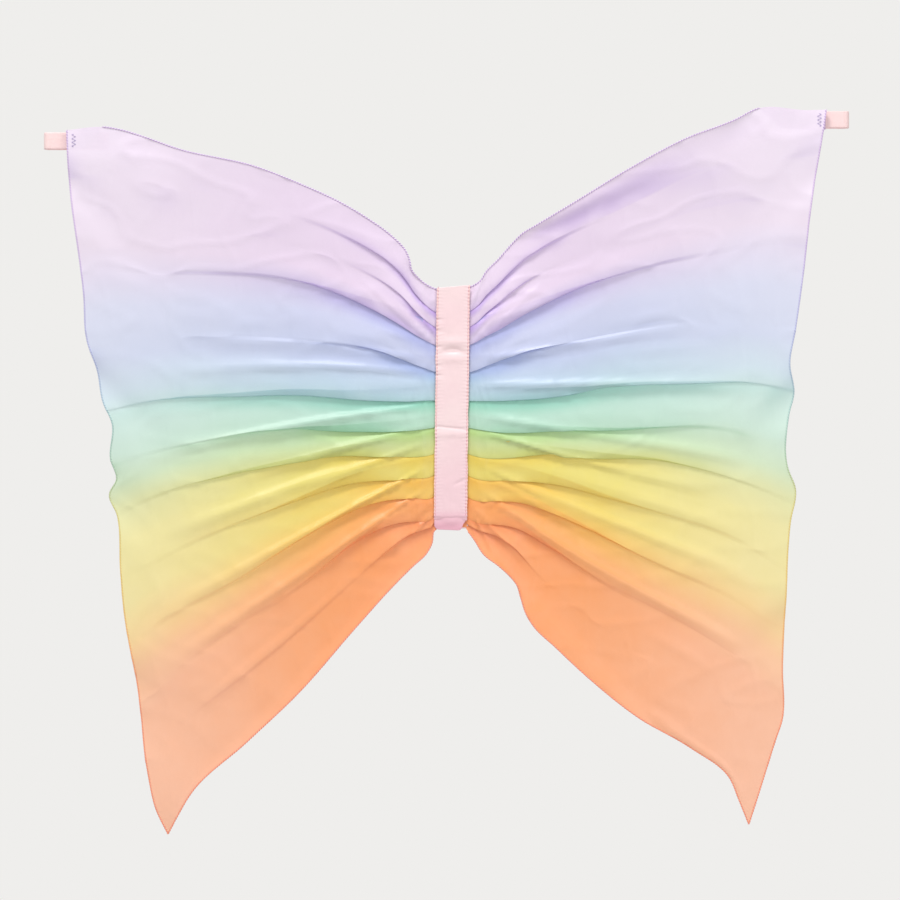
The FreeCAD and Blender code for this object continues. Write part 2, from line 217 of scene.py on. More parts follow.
def waves(x, y, seed):
    """Smooth noise from -1 to 1 over two arrays of coordinates."""
    values = [noise.noise(Vector((a, b, seed * 7.31))) for a, b in zip(np.ravel(x), np.ravel(y))]
    return np.array(values).reshape(np.shape(x)) * 1.6


class Wing:
    """The flat outline of one wing as a patch: u runs out from the ribbon, t from top to bottom.
    The small turns of an edge stay near that edge; only its broad sweep carries across."""

    def __init__(self, side):
        self.top = smooth_line(TOP_EDGE[side])
        self.bottom = smooth_line(BOTTOM_EDGE[side])
        self.outer = smooth_line(OUTER_EDGE[side])
        self.root = evenly(np.array([self.top[0], self.bottom[0]]), 400)
        self.share = np.linspace(0, 1, 400)
        self.sweeps = [broad_sweep(line) for line in (self.top, self.bottom, self.outer)]

    def along(self, line, at):
        """Points at shares of an edge's length."""
        return np.stack([np.interp(at, self.share, line[:, i]) for i in range(2)], axis=-1)

    def at(self, u, t):
        """(out, up) of points on the patch, blended between its four edges."""
        u, t = np.broadcast_arrays(np.asarray(u, float), np.asarray(t, float))
        top, bottom, outer = self.sweeps
        parts = [
            (1 - t, self.along(top, u)),
            (t, self.along(bottom, u)),
            (1 - u, self.along(self.root, t)),
            (u, self.along(outer, t)),
            (-(1 - u) * (1 - t), self.top[0]),
            (-u * (1 - t), self.top[-1]),
            (-(1 - u) * t, self.bottom[0]),
            (-u * t, self.bottom[-1]),
            ((1 - t) ** 5, self.along(self.top - top, u)),
            (t**5, self.along(self.bottom - bottom, u)),
            (u**9, self.along(self.outer - outer, t)),
        ]
        return sum(weight[..., None] * value for weight, value in parts)


def broad_sweep(line, passes=60, reach=12):
    """The line without its small turns: averaged along itself, its ends kept."""
    sweep = line.copy()
    for _ in range(passes):
        middle = (sweep[: -2 * reach] + sweep[2 * reach :]) / 2
        sweep[reach:-reach] = (sweep[reach:-reach] + middle) / 2
        for i in range(1, reach):
            share = i / reach
            sweep[i] = sweep[0] * (1 - share) + sweep[reach] * share
            sweep[-1 - i] = sweep[-1] * (1 - share) + sweep[-1 - reach] * share
    return sweep


# ---- how the silk settles


def settled_waves(side, columns=72, rows=130):
    """The waves a wing's silk settles into, as moves (out, relief, up) over a grid of the patch.

    A small cloth solver: the silk is longer down its columns than its outline, so it buckles into
    folds that fan out from the ribbon, while a light pull lays it flat."""
    wing = Wing(side)
    u, t = np.meshgrid(np.linspace(0, 1, columns), np.linspace(0, 1, rows), indexing="ij")
    flat = wing.at(u, t)
    flat = np.stack([flat[..., 0], np.zeros_like(u), flat[..., 1]], axis=-1)
    spare = np.interp(u, [0, 0.1, 0.3, 0.5, 0.7, 0.85, 1], [0, 0.09, 0.10, 0.09, 0.06, 0.035, 0.015])
    point = flat.copy()
    point[..., 1] = first_ripples(side, u.shape)
    held = np.zeros(u.shape, bool)
    held[:, [0, -1]] = True
    held[-1] = True
    held[:2] = True
    settle(point, flat, cloth_links(flat, spare), held)
    return point - flat


def first_ripples(side, shape):
    """Small random ripples, longer outwards than downwards, that the folds grow from."""
    relief = np.random.default_rng(SETTLE_SEED[side]).uniform(0, 1, shape)
    for _ in range(6):
        relief[1:-1] = (relief[:-2] + 2 * relief[1:-1] + relief[2:]) / 4
    for _ in range(2):
        relief[:, 1:-1] = (relief[:, :-2] + 2 * relief[:, 1:-1] + relief[:, 2:]) / 4
    return 14 * (relief - relief.mean()) + 4


def cloth_links(flat, spare):
    """The cloth's threads as (from, to, length, stiffness), in sets that share no point: down the
    columns with spare length, outwards with almost none, and weak diagonals."""
    columns, rows = spare.shape
    every = slice(None)
    links = []

    def link(a, b, stiffness, stretch):
        rest = np.linalg.norm(flat[b] - flat[a], axis=-1) * stretch
        links.append((a, b, rest, stiffness))

    for first in (0, 1):
        down = (rows - first) // 2
        upper = (every, slice(first, first + 2 * down - 1, 2))
        lower = (every, slice(first + 1, first + 2 * down, 2))
        link(upper, lower, 1.0, 1 + spare[upper])
        out = (columns - first) // 2
        inner, outer = slice(first, first + 2 * out - 1, 2), slice(first + 1, first + 2 * out, 2)
        link((inner, every), (outer, every), 1.0, 1.012)
        for a, b in ((slice(0, -1), slice(1, None)), (slice(1, None), slice(0, -1))):
            link((inner, a), (outer, b), 0.15, 1 + spare[inner, a] / 2)
    return links


def settle(point, flat, links, held, steps=110, sweeps=5, thickest=8, drag=0.96, pull=0.006):
    """Moves the points until the threads have their lengths; held points only rise and fall."""
    before = point.copy()
    for _ in range(steps):
        speed = (point - before) * drag
        before = point.copy()
        point += speed
        point[..., 1] -= pull
        for _ in range(sweeps):
            for a, b, rest, stiffness in links:
                gap = point[b] - point[a]
                length = np.maximum(np.linalg.norm(gap, axis=-1), 1e-6)
                shift = gap * (0.5 * stiffness * (length - rest) / length)[..., None]
                point[a] += shift
                point[b] -= shift
            point[:, 1:-1] += 0.035 * (point[:, :-2] + point[:, 2:] - 2 * point[:, 1:-1])
            point[1:-1] += 0.05 * (point[:-2] + point[2:] - 2 * point[1:-1])
            point[..., 1] = np.clip(point[..., 1], 0, thickest)
            point[held, 0] = flat[held, 0]
            point[held, 2] = flat[held, 2]
            point[:2, :, 1] = 2


def on_grid(grid, u, t):
    """The grid's values at u and t, blended between its points."""
    columns, rows = grid.shape[:2]
    i = np.clip(u, 0, 1) * (columns - 1)
    j = np.clip(t, 0, 1) * (rows - 1)
    i0 = np.minimum(i.astype(int), columns - 2)
    j0 = np.minimum(j.astype(int), rows - 2)
    a, b = (i - i0)[..., None], (j - j0)[..., None]
    near = grid[i0, j0] * (1 - b) + grid[i0, j0 + 1] * b
    far = grid[i0 + 1, j0] * (1 - b) + grid[i0 + 1, j0 + 1] * b
    return near * (1 - a) + far * a


# ---- the knife pleats


def fold_angle(share):
    """How far a fold turns, when share of its length is what it hides: a half turn at 1."""
    angles = np.linspace(1e-3, math.pi, 400)
    return np.interp(share, 1 - np.sin(angles) / angles, angles)


def fold_lines(u, seed):
    """Where each fold shows in a column at u, as shares of its length, 0 and 1 added."""
    lines = [0.0]
    free = float(soft_step(0.08, 0.5, u))
    for k, (height, shown, swing, _) in enumerate(PLEATS):
        wander = 0.012 * noise.noise(Vector((u * 3.1, k * 5.7, seed))) * free
        lines.append(height + (shown - height) * math.exp(-((u / swing) ** 1.5)) + wander)
    return np.array(lines + [1.0])


def tucked_fold(bend, angle, step, hidden, covered):
    """The silk from a fold's edge back up under it and down again: its rows, and the length and
    the drop that they take up."""
    flat = max(0.25, hidden - bend)
    share = np.arange(FOLD_ROWS) / FOLD_ROWS
    turned = np.cos(angle * share)
    full = 1 - math.cos(angle)
    out_turn = (
        share * bend,
        bend * np.sin(angle * share) / angle,
        step - step / 2 * (1 - turned) / full,
        share * covered,
    )
    place = bend * math.sin(angle) / angle
    level = np.arange(3) / 3 * flat
    middle = (bend + level, place + level * math.cos(angle), np.full(3, step / 2), np.full(3, covered))
    place += flat * math.cos(angle)
    back = angle * (1 - share)
    back_turn = (
        bend + flat + share * bend,
        place + bend * (math.sin(angle) - np.sin(back)) / angle,
        step / 2 * (1 - np.cos(back)) / full,
        np.full(FOLD_ROWS, covered),
    )
    place += bend * math.sin(angle) / angle
    return [out_turn, middle, back_turn], 2 * bend + flat, place


def open_panel(begin, place, length, tuck, hidden, low, high, covered):
    """The stretch of silk between two folds, which climbs over what is tucked under the next."""
    run = np.linspace(0, 1, RUN_ROWS, endpoint=False)
    climb_from = min(hidden * 0.7, length * 0.5)
    climb_to = max(length - tuck * 0.95, climb_from + length * 0.2)
    rise = soft_step(climb_from, climb_to, run * length)
    tucked = min(0.6, hidden / length)
    # Painted shade: the deeper dye of the silk tucked under a fold runs on over the visible silk just below
    # the fold's edge, fading out.
    shade = covered * (1 - soft_step(tucked, tucked + 0.4, run))
    return begin + run * length, place + run * length, low + (high - low) * rise, shade


def pleated_column(u, column_length, seed):
    """One column of silk from top to bottom: arrays of silk height, drop and relief, in mm, and a value
    from 0 to 1 for the deeper dye: full where the silk lies doubled under a fold, then fading out as
    painted shade over the silk just below the fold's edge."""
    heights = np.array([0.0] + [p[0] for p in PLEATS] + [1.0]) * SILK_HEIGHT
    lines = fold_lines(u, seed) * column_length
    silk_lengths, seen_lengths = np.diff(heights), np.diff(lines)
    keep = np.array([0.0] + [math.exp(-((u / p[3]) ** 2)) for p in PLEATS])
    hidden = np.clip((silk_lengths - seen_lengths) / 2, 0, 0.4 * silk_lengths) * keep
    bend = 1.7 + 3.0 * float(soft_step(0.02, 0.45, u))
    lift = np.interp(u, [0, 0.04, 0.14, 0.5, 0.8, 1], [0.85, 0.95, 0.9, 0.6, 0.35, 0.2])
    angles = fold_angle(np.clip(hidden / bend, 1e-4, 1))
    steps = 2 * bend * (1 - np.cos(angles)) / angles * lift
    steps[0] = 0.4 * steps[1]
    steps = np.append(steps, 0.8)
    tucks = np.append(hidden[1:], 0.0)
    parts = []
    for k, (silk, seen) in enumerate(zip(silk_lengths, seen_lengths)):
        covered = min(1.0, hidden[k] / 7)
        rows, begin, place, low = [], 0.0, 0.0, steps[0]
        if k > 0:
            rows, begin, place = tucked_fold(bend, angles[k], steps[k], hidden[k], covered)
            low = 0.0
        rows.append(open_panel(begin, place, silk - begin, tucks[k], hidden[k], low, steps[k + 1], covered))
        part = [np.concatenate(column) for column in zip(*rows)]
        part[0] += heights[k]
        part[1] = lines[k] + part[1] * (seen / (silk - 2 * hidden[k]))
        parts.append(part)
    parts.append([[heights[-1]], [lines[-1]], [steps[-1]], [0.0]])
    return [np.concatenate(column) for column in zip(*parts)]


def pleated_silk(side):
    """Arrays over the wing's columns and rows: points in metres, the dye's share of the silk's height, the
    distance out along the silk, and the deeper dye's share: silk doubled under the folds, and painted shade
    below the folds' edges and on the waves' shaded sides."""
    wing = Wing(side)
    seed = 3.0 + SIDE[side]
    us = np.linspace(0, 1, COLUMNS) ** 1.15
    t_fine = np.linspace(0, 1, 300)
    columns = []
    for u in us:
        length = length_of(wing.at(np.full(300, u), t_fine))
        columns.append(pleated_column(u, length, seed))
    silk, drop, relief, doubling_and_shade = (np.array(rows) for rows in zip(*columns))
    t = drop / drop[:, -1:]
    u = np.repeat(us[:, None], t.shape[1], axis=1)
    flat = wing.at(u, t)
    out, up = flat[..., 0], flat[..., 1]
    moved = on_grid(settled_waves(side), u, t)
    ease = soft_step(0.0, 0.12, u)
    out = out + moved[..., 0] * ease
    up = up + moved[..., 2] * ease
    relief = relief + moved[..., 1] * 0.75 * ease + small_wrinkles(side, u, out, up)
    # Painted shade: the deeper dye on the downward-facing sides of the waves.
    doubling_and_shade = np.maximum(doubling_and_shade, shaded_side(relief, drop))
    points = metres(SIDE[side] * out, SILK_BACK - relief, up)
    return points, silk / SILK_HEIGHT, u, doubling_and_shade


def shaded_side(relief, drop, spread=4):
    """Painted shade, 0 to 0.9: a deeper dye where a wave of the silk turns downwards, away from the key
    light above.
    """
    fall = relief[:, : -2 * spread] - relief[:, 2 * spread :]
    run = np.maximum(drop[:, 2 * spread :] - drop[:, : -2 * spread], 6.0)
    painted_shade = np.zeros_like(relief)
    painted_shade[:, spread:-spread] = 0.9 * soft_step(0.02, 0.22, fall / run)
    for _ in range(8):
        painted_shade[:, 1:-1] = (painted_shade[:, :-2] + 2 * painted_shade[:, 1:-1] + painted_shade[:, 2:]) / 4
        painted_shade[1:-1] = (painted_shade[:-2] + 2 * painted_shade[1:-1] + painted_shade[2:]) / 4
    return painted_shade


def small_wrinkles(side, u, out, up):
    """The finest unevenness of the silk, in mm: soft swells and a few crisp creases."""
    seed = 11 if side == "left" else 23
    long = waves(u * 4, up / 32, seed) * 0.35
    broad = waves(out / 80 + up / 200, up / 60 - out / 260, seed + 1) * 0.8
    bent_out = out + 14 * waves(out / 60, up / 60, seed + 3)
    crease = 1 - np.abs(waves(bent_out / 95 + up / 130, up / 34 - out / 150, seed + 4))
    crisp = 0.9 * np.clip((crease - 0.62) / 0.38, 0, 1) ** 2
    cross = 1 - np.abs(waves(out / 42 - up / 160, up / 90 + bent_out / 75, seed + 5))
    crisp += 0.5 * np.clip((cross - 0.70) / 0.30, 0, 1) ** 2
    amount = soft_step(0.01, 0.16, u)
    gathers = root_gathers(seed, u, out, up) * soft_step(0, 0.03, u)
    return np.maximum((long + broad + 0.6 + crisp) * amount + gathers, 0) + 0.1


def root_gathers(seed, u, out, up):
    """The short creases beside the ribbon, and those that fan out from near its two ends."""
    near = 1 - np.abs(waves(out / 13, up / 26 + out / 40, seed + 6))
    gathers = 0.9 * np.clip((near - 0.6) / 0.4, 0, 1) * soft_step(0.16, 0.04, u)
    for focus, way in ((64, 1), (-98, -1)):
        across, above = out - ROOT_OUT + 8, (up - focus) * way
        reach, turn = np.hypot(across, above), np.arctan2(above, across)
        ray = 1 - np.abs(waves(turn * 4.2, reach / 170, seed + 8 + way))
        fan = np.clip((ray - 0.55) / 0.45, 0, 1) ** 1.3 * soft_step(10, 34, reach)
        gathers += 2.0 * fan * soft_step(150, 60, reach) * soft_step(-4, 14, above)
    return gathers


# ---- meshes


def new_object(name, data):
    """An object in the scene's own collection."""
    obj = bpy.data.objects.new(name, data)
    bpy.context.scene.collection.objects.link(obj)
    return obj


def new_mesh(name, points, faces, material, attributes=(), uv=None):
    """A smooth-shaded mesh object; points in metres, attributes as (name, values per point)."""
    mesh = bpy.data.meshes.new(name)
    mesh.from_pydata([tuple(p) for p in np.reshape(points, (-1, 3))], [], faces)
    for key, values in attributes:
        layer = mesh.attributes.new(key, "FLOAT", "POINT")
        layer.data.foreach_set("value", np.asarray(values, np.float32).ravel())
    if uv is not None:
        layer = mesh.uv_layers.new(name="UVMap")
        corners = np.empty(len(mesh.loops), int)
        mesh.loops.foreach_get("vertex_index", corners)
        layer.data.foreach_set("uv", np.asarray(uv, np.float32).reshape(-1, 2)[corners].ravel())
    mesh.polygons.foreach_set("use_smooth", [True] * len(mesh.polygons))
    mesh.materials.append(material)
    mesh.update()
    return new_object(name, mesh)


def grid_faces(columns, rows, flip=False, closed=False, looped=False):
    """Quads of a grid whose points are listed column by column. closed joins the last row to the
    first, and looped the last column."""
    faces = []
    for i in range(columns if looped else columns - 1):
        after = (i + 1) % columns
        for j in range(rows if closed else rows - 1):
            k = (j + 1) % rows
            face = (i * rows + j, after * rows + j, after * rows + k, i * rows + k)
            faces.append(face[::-1] if flip else face)
    return faces


def sideways(path):
    """Two vectors across the path, square to each other, at each of its points."""
    ahead = np.gradient(path, axis=0)
    ahead /= np.linalg.norm(ahead, axis=1)[:, None]
    side = np.cross(ahead, [0, 1, 0])
    side /= np.maximum(np.linalg.norm(side, axis=1)[:, None], 1e-9)
    return side, np.cross(side, ahead)


def end_faces(rings, around):
    """The faces that close a tube at its two ends."""
    last = (rings - 1) * around
    return [tuple(range(around)), tuple(last + i for i in reversed(range(around)))]


def tube(path, radius, around=8):
    """Points and faces of a tube along a path, its ends closed. radius may vary per ring and
    per point round it: an array of (rings, around)."""
    path = np.asarray(path, float)
    side, up = sideways(path)
    angle = np.arange(around) / around * 2 * math.pi
    radius = np.broadcast_to(np.asarray(radius, float), (len(path), around))
    ring = np.cos(angle)[None, :, None] * side[:, None] + np.sin(angle)[None, :, None] * up[:, None]
    points = path[:, None] + radius[..., None] * ring
    faces = grid_faces(len(path), around, closed=True) + end_faces(len(path), around)
    return points.reshape(-1, 3), faces


def joined(parts):
    """One list of points and one of faces from several pairs of them."""
    points, faces, count = [], [], 0
    for part_points, part_faces in parts:
        points.append(part_points)
        faces += [tuple(i + count for i in face) for face in part_faces]
        count += len(part_points)
    return np.vstack(points), faces


# ---- material helpers


def srgb(code):
    """A linear colour from a six-figure colour code."""
    values = [int(code[i : i + 2], 16) / 255 for i in (0, 2, 4)]
    linear = [c / 12.92 if c <= 0.04045 else ((c + 0.055) / 1.055) ** 2.4 for c in values]
    return (*linear, 1.0)


class Nodes:
    """A short way to build the nodes of a new material or world."""

    def __init__(self, name, kind=bpy.data.materials):
        self.owner = kind.new(name)
        self.owner.use_nodes = True
        self.tree = self.owner.node_tree
        self.tree.nodes.clear()

    def add(self, kind, settings=None, **inputs):
        """A node with its inputs by name, or by number as _0."""
        node = self.tree.nodes.new(kind)
        for key, value in (settings or {}).items():
            setattr(node, key, value)
        for key, value in inputs.items():
            socket = node.inputs[int(key[1:]) if key[0] == "_" else key.replace("_", " ")]
            if isinstance(value, bpy.types.NodeSocket):
                self.tree.links.new(value, socket)
            else:
                socket.default_value = value
        return node

    def math(self, operation, a, b=0.0, clamp=False):
        node = self.add("ShaderNodeMath", {"operation": operation, "use_clamp": clamp}, _0=a, _1=b)
        return node.outputs[0]

    def times(self, a, b, clamp=False):
        return self.math("MULTIPLY", a, b, clamp)

    def plus(self, a, b, clamp=False):
        return self.math("ADD", a, b, clamp)

    def place(self, kind="Object"):
        return self.add("ShaderNodeTexCoord").outputs[kind]

    def attribute(self, name):
        return self.add("ShaderNodeAttribute", {"attribute_name": name}).outputs["Fac"]

    def ramp(self, value, stops):
        node = self.add("ShaderNodeValToRGB", Fac=value)
        elements = node.color_ramp.elements
        while len(elements) < len(stops):
            elements.new(0.5)
        for element, (place, color) in zip(elements, stops):
            element.position = place
            element.color = srgb(color)
        return node.outputs[0]

    def mix(self, share, a, b):
        return self.add("ShaderNodeMix", {"data_type": "RGBA"}, _0=share, _6=a, _7=b).outputs[2]

    def noise(self, vector, scale, detail=3.0, rough=0.5):
        node = self.add("ShaderNodeTexNoise", Vector=vector, Scale=scale, Detail=detail, Roughness=rough)
        return node.outputs[0]

    def threads(self, direction, vector, scale, distortion=0.0):
        settings = {"bands_direction": direction}
        node = self.add("ShaderNodeTexWave", settings, Vector=vector, Scale=scale, Distortion=distortion)
        return node.outputs[1]

    def gamma(self, colour, gamma):
        return self.add("ShaderNodeGamma", Color=colour, Gamma=gamma).outputs[0]

    def bump(self, height, strength, distance):
        return self.add("ShaderNodeBump", Height=height, Strength=strength, Distance=distance).outputs[0]

    def surface(self, **inputs):
        return self.add("ShaderNodeBsdfPrincipled", **inputs).outputs[0]

    def finish(self, shader, output="ShaderNodeOutputMaterial"):
        self.add(output, Surface=shader)
        return self.owner


# The dye seen through one layer of silk over white, by the share of the silk's height.
DYE = [
    (0.00, "EAD7EE"), (0.16, "E7D3EB"), (0.205, "DDD2EE"), (0.25, "D1D4F1"),
    (0.32, "C3CDEC"), (0.365, "C0D8E8"), (0.395, "BFE4DC"), (0.46, "BDE2CC"),
    (0.505, "C4DFAC"), (0.54, "DDDF88"), (0.59, "EFE174"), (0.675, "F2DC6C"),
    (0.73, "FBC858"), (0.775, "FFB05E"), (0.83, "FFA460"), (1.00, "FFA568"),
]

# The same dye where silk lies doubled under a fold, also used as painted shade: the deeper, more saturated
# colour below fold edges and on the waves' shaded sides.
DOUBLED_AND_SHADE_DYE = [
    (0.00, "C6A6E8"), (0.18, "BB9BE4"), (0.25, "A3A9E3"), (0.34, "95AAE0"),
    (0.395, "74C6BE"), (0.46, "7ECBA0"), (0.52, "B4D062"), (0.565, "E2CB3E"),
    (0.67, "ECC238"), (0.74, "F7A530"), (0.80, "F48C42"), (1.00, "EF7F46"),
]

# The hems' thread.
HEM_THREAD = [
    (0.00, "A781C6"), (0.20, "A988CC"), (0.30, "8F8FC6"), (0.38, "7FA3B4"),
    (0.48, "8BAF92"), (0.56, "D8B95A"), (0.68, "E7A94E"), (0.76, "E5785A"),
    (1.00, "E0624F"),
]


def dye_colours(n):
    """The dye's colour and its deeper colour, for doubled silk and painted shade, their bands blurred and
    shifted a little as hand dyeing leaves them.
    """
    place = n.place()
    shift = n.times(n.math("SUBTRACT", n.noise(place, 9.0, 3.0), 0.5), 0.024)
    height = n.plus(n.attribute("dye"), shift, clamp=True)
    return n.ramp(height, DYE), n.ramp(height, DOUBLED_AND_SHADE_DYE), place


def silk_material():
    """Sheer dyed silk: glossy, woven, more see-through away from the gathers, and deeper in colour where
    doubled under a fold, with painted shade below fold edges and on the waves' shaded sides.
    """
    n = Nodes("silk")
    white = (1, 1, 1, 1)
    colour, deep, place = dye_colours(n)
    cloud = n.noise(place, 26.0, 4.0, 0.6)
    # deep is the deeper dye: silk doubled under folds, and painted shade below fold edges and on the waves'
    # shaded sides.
    cloth = n.mix(n.times(n.attribute("doubling_and_shade"), 0.9), n.gamma(colour, 1.08), deep)
    pale = n.times(n.attribute("far"), 0.26)
    cloth = n.mix(pale, cloth, white)
    cloth = n.mix(n.times(cloud, 0.12), cloth, white)
    uv = n.place("UV")
    weave = n.plus(n.threads("X", uv, 700.0, 0.6), n.threads("Y", uv, 620.0, 0.6))
    height = n.plus(weave, n.times(n.noise(place, 420.0, 2.0), 1.5))
    shader = n.surface(
        Base_Color=cloth,
        Roughness=n.plus(n.times(cloud, 0.06), 0.28),
        Normal=n.bump(height, 0.25, 0.0001),
        Sheen_Weight=0.25,
        Sheen_Roughness=0.4,
        Specular_IOR_Level=0.55,
    )
    tint = n.mix(pale, n.gamma(colour, 0.8), white)
    clear = n.add("ShaderNodeBsdfTransparent", Color=tint).outputs[0]
    solid = n.math("SUBTRACT", 0.93, n.times(n.attribute("sheer"), 0.26))
    return n.finish(n.add("ShaderNodeMixShader", _0=solid, _1=clear, _2=shader).outputs[0])


def hem_material():
    """Rolled silk overcast with thread that follows the dye, a darker turn and a paler gap."""
    n = Nodes("hem_thread")
    thread = n.ramp(n.attribute("dye"), HEM_THREAD)
    silk = n.gamma(n.ramp(n.attribute("dye"), DYE), 1.1)
    colour = n.mix(n.times(n.attribute("turn"), 1.1, clamp=True), silk, thread)
    fuzz = n.noise(n.place(), 900.0, 3.0)
    colour = n.mix(n.times(fuzz, 0.25), colour, (0.9, 0.85, 0.9, 1))
    rough = n.plus(n.times(fuzz, 0.3), 0.4)
    normal = n.bump(fuzz, 0.4, 0.0002)
    return n.finish(n.surface(Base_Color=colour, Roughness=rough, Normal=normal, Sheen_Weight=0.2))


def satin_material():
    """Pale pink satin, a little darker lower down, with painted shade where its end is turned under and on
    the face just above that turn.
    """
    n = Nodes("satin_ribbon")
    place = n.place()
    colour = n.ramp(n.noise(place, 14.0, 3.0), [(0.25, "F6D6DB"), (0.75, "F9E2E2")])
    # turned is painted shade: darker pink where the ribbon's end turns under and just above that turn.
    for layer, code in (("lower", "F3CDD6"), ("selvedge", "FBCFC8"), ("turned", "EBB2C3")):
        colour = n.mix(n.attribute(layer), colour, srgb(code))
    uv = n.place("UV")
    threads = n.plus(n.threads("X", uv, 900.0, 1.0), n.times(n.threads("Y", uv, 300.0, 1.5), 0.5))
    haze = n.noise(place, 160.0, 3.0)
    height = n.plus(n.times(threads, 0.5), haze)
    rough = n.plus(n.times(haze, 0.12), 0.24)
    normal = n.bump(height, 0.2, 0.0001)
    return n.finish(
        n.surface(Base_Color=colour, Roughness=rough, Normal=normal, Sheen_Weight=0.15, Anisotropic=0.4)
    )


def elastic_material():
    """Matt pink knitted elastic with fine ribs along it."""
    n = Nodes("elastic")
    uv = n.place("UV")
    stitch = n.times(n.threads("Y", uv, 330.0, 0.2), n.threads("X", uv, 260.0, 0.8))
    fuzz = n.noise(n.place(), 700.0, 4.0)
    colour = n.ramp(stitch, [(0.0, "FAD2D2"), (0.8, "FEE4E2")])
    colour = n.mix(n.times(fuzz, 0.35), colour, srgb("FFF1EF"))
    rough = n.plus(n.times(fuzz, 0.2), 0.6)
    normal = n.bump(n.plus(stitch, n.times(fuzz, 0.7)), 0.6, 0.0003)
    return n.finish(
        n.surface(Base_Color=colour, Roughness=rough, Normal=normal, Sheen_Weight=0.4, Sheen_Roughness=0.5)
    )


def thread_material(name, low, high):
    """Twisted sewing thread in one colour, lighter where the twist catches the light."""
    n = Nodes(name)
    place = n.place()
    fuzz = n.noise(place, 1200.0, 3.0)
    share = n.times(n.threads("DIAGONAL", place, 900.0), fuzz)
    colour = n.ramp(share, [(0.1, low), (0.7, high)])
    normal = n.bump(share, 0.5, 0.0002)
    rough = n.plus(n.times(fuzz, 0.25), 0.4)
    return n.finish(n.surface(Base_Color=colour, Roughness=rough, Normal=normal, Sheen_Weight=0.3))


SILK = silk_material()
HEM = hem_material()
SATIN = satin_material()
KNIT = elastic_material()
RIBBON_THREAD = thread_material("ribbon_thread", "D97F98", "F0B0BC")
TACK_THREAD = thread_material("tack_thread", "A294C6", "CFC2E4")
WHITE_THREAD = thread_material("gather_thread", "D9CFDD", "F2ECF4")


# ---- silk and hems


def hem_tube(name, line, dye, radius=HEM_RADIUS, around=8):
    """A rolled edge along a line in metres, wound with thread that stands out turn by turn."""
    run = run_along(line)
    at = np.linspace(0, run[-1], int(length_of(line) / MM / HEM_STEP))
    path = np.stack([np.interp(at, run, line[:, i]) for i in range(3)], axis=1)
    shade = np.interp(at, run, dye)
    angle = np.arange(around) / around * 2 * math.pi
    phase = at[:, None] / MM / HEM_TURN * 2 * math.pi - angle[None, :]
    ridge = (0.5 + 0.5 * np.cos(phase)) ** 1.5
    wander = np.array([noise.noise(Vector((a / MM / 6, radius, 3))) for a in at])
    rough = 1 + 0.18 * wander[:, None]
    points, faces = tube(path, MM * (radius * rough + 0.4 * ridge), around)
    layers = [("dye", np.repeat(shade, around)), ("turn", ridge.ravel())]
    return new_mesh(name, points, faces, HEM, layers)


def make_wing(side):
    """One wing's silk, folded at the ribbon, and its three hems."""
    points, height, u, doubling_and_shade = pleated_silk(side)
    uv = np.stack([u * SILK_WIDTH * MM, height * SILK_HEIGHT * MM], axis=-1)
    faces = grid_faces(*height.shape, flip=side == "right")
    doubled = soft_step(0.06, 0.03, height) * soft_step(0.72, 0.84, u)
    sheer = soft_step(0.08, 0.5, u) * (1 - doubled)
    layers = [("dye", height), ("doubling_and_shade", doubling_and_shade), ("far", soft_step(0.3, 1.05, u)), ("sheer", sheer)]
    silk = new_mesh(f"{side}_silk", points, faces, SILK, layers, uv)
    out = np.abs(points[:, 0, 0]) / MM
    first = int(np.searchsorted(out, ROOT_OUT + 2))
    last = int(np.searchsorted(out, FOLD_OUT[side]))
    hems = [
        hem_tube(f"{side}_top_rolled_hem", points[first : last + 1, 0], height[first : last + 1, 0]),
        hem_tube(f"{side}_outer_rolled_hem", points[-1], height[-1]),
        hem_tube(f"{side}_bottom_rolled_hem", points[first:, -1], height[first:, -1]),
    ]
    return silk, hems, points, last


def bend_at_ribbon(obj):
    """Bakes the piece's placement into its mesh; nothing bends it."""
    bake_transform(obj)


def surface_at(points, out, up):
    """Y of the silk's front at each (out, up), all in mm."""
    flat = points.reshape(-1, 3) / MM
    depths = []
    for a, b in zip(out, up):
        near = np.hypot(np.abs(flat[:, 0]) - a, flat[:, 2] - b)
        depths.append(flat[near < max(near.min() + 1.0, 2.5), 1].min())
    return np.array(depths)


def make_facing(side, silk_points, fold_column, columns=44, rows=14):
    """The silk's top corner, folded to the back over the end of the wrist elastic."""
    edge = evenly(silk_points[fold_column:, 0], columns) / MM
    run = np.abs(edge[:, 0] - edge[0, 0])
    deep = FACING_HEIGHT * np.clip(run / FACING_SLANT, 0.02, 1)
    q = np.linspace(0, 1, rows)
    x = np.repeat(edge[:, :1], rows, axis=1)
    z = edge[:, 2:] - deep[:, None] * q
    back = soft_step(0, 0.16, q)[None, :]
    ripple = waves(x / 9, z / 7, 41) * 0.12
    y = edge[:, 1:2] * (1 - back) + (-0.32 + ripple * q) * back
    points = metres(x, y, z)
    shade = np.broadcast_to(0.03 + 0.02 * q, x.shape)
    uv = np.stack([x, z], axis=-1) * MM
    layers = [("dye", shade)]
    for name, value in (("doubling_and_shade", 0.25), ("far", 0.4), ("sheer", 1.0)):
        layers.append((name, np.full(x.shape, value)))
    faces = grid_faces(columns, rows, flip=side == "left")
    facing = new_mesh(f"{side}_corner_turnover", points, faces, SILK, layers, uv)
    border = points[:, -1]
    dye = np.full(len(border), 0.04)
    hem = hem_tube(f"{side}_corner_rolled_hem", border, dye, CORNER_HEM_RADIUS)
    return facing, hem


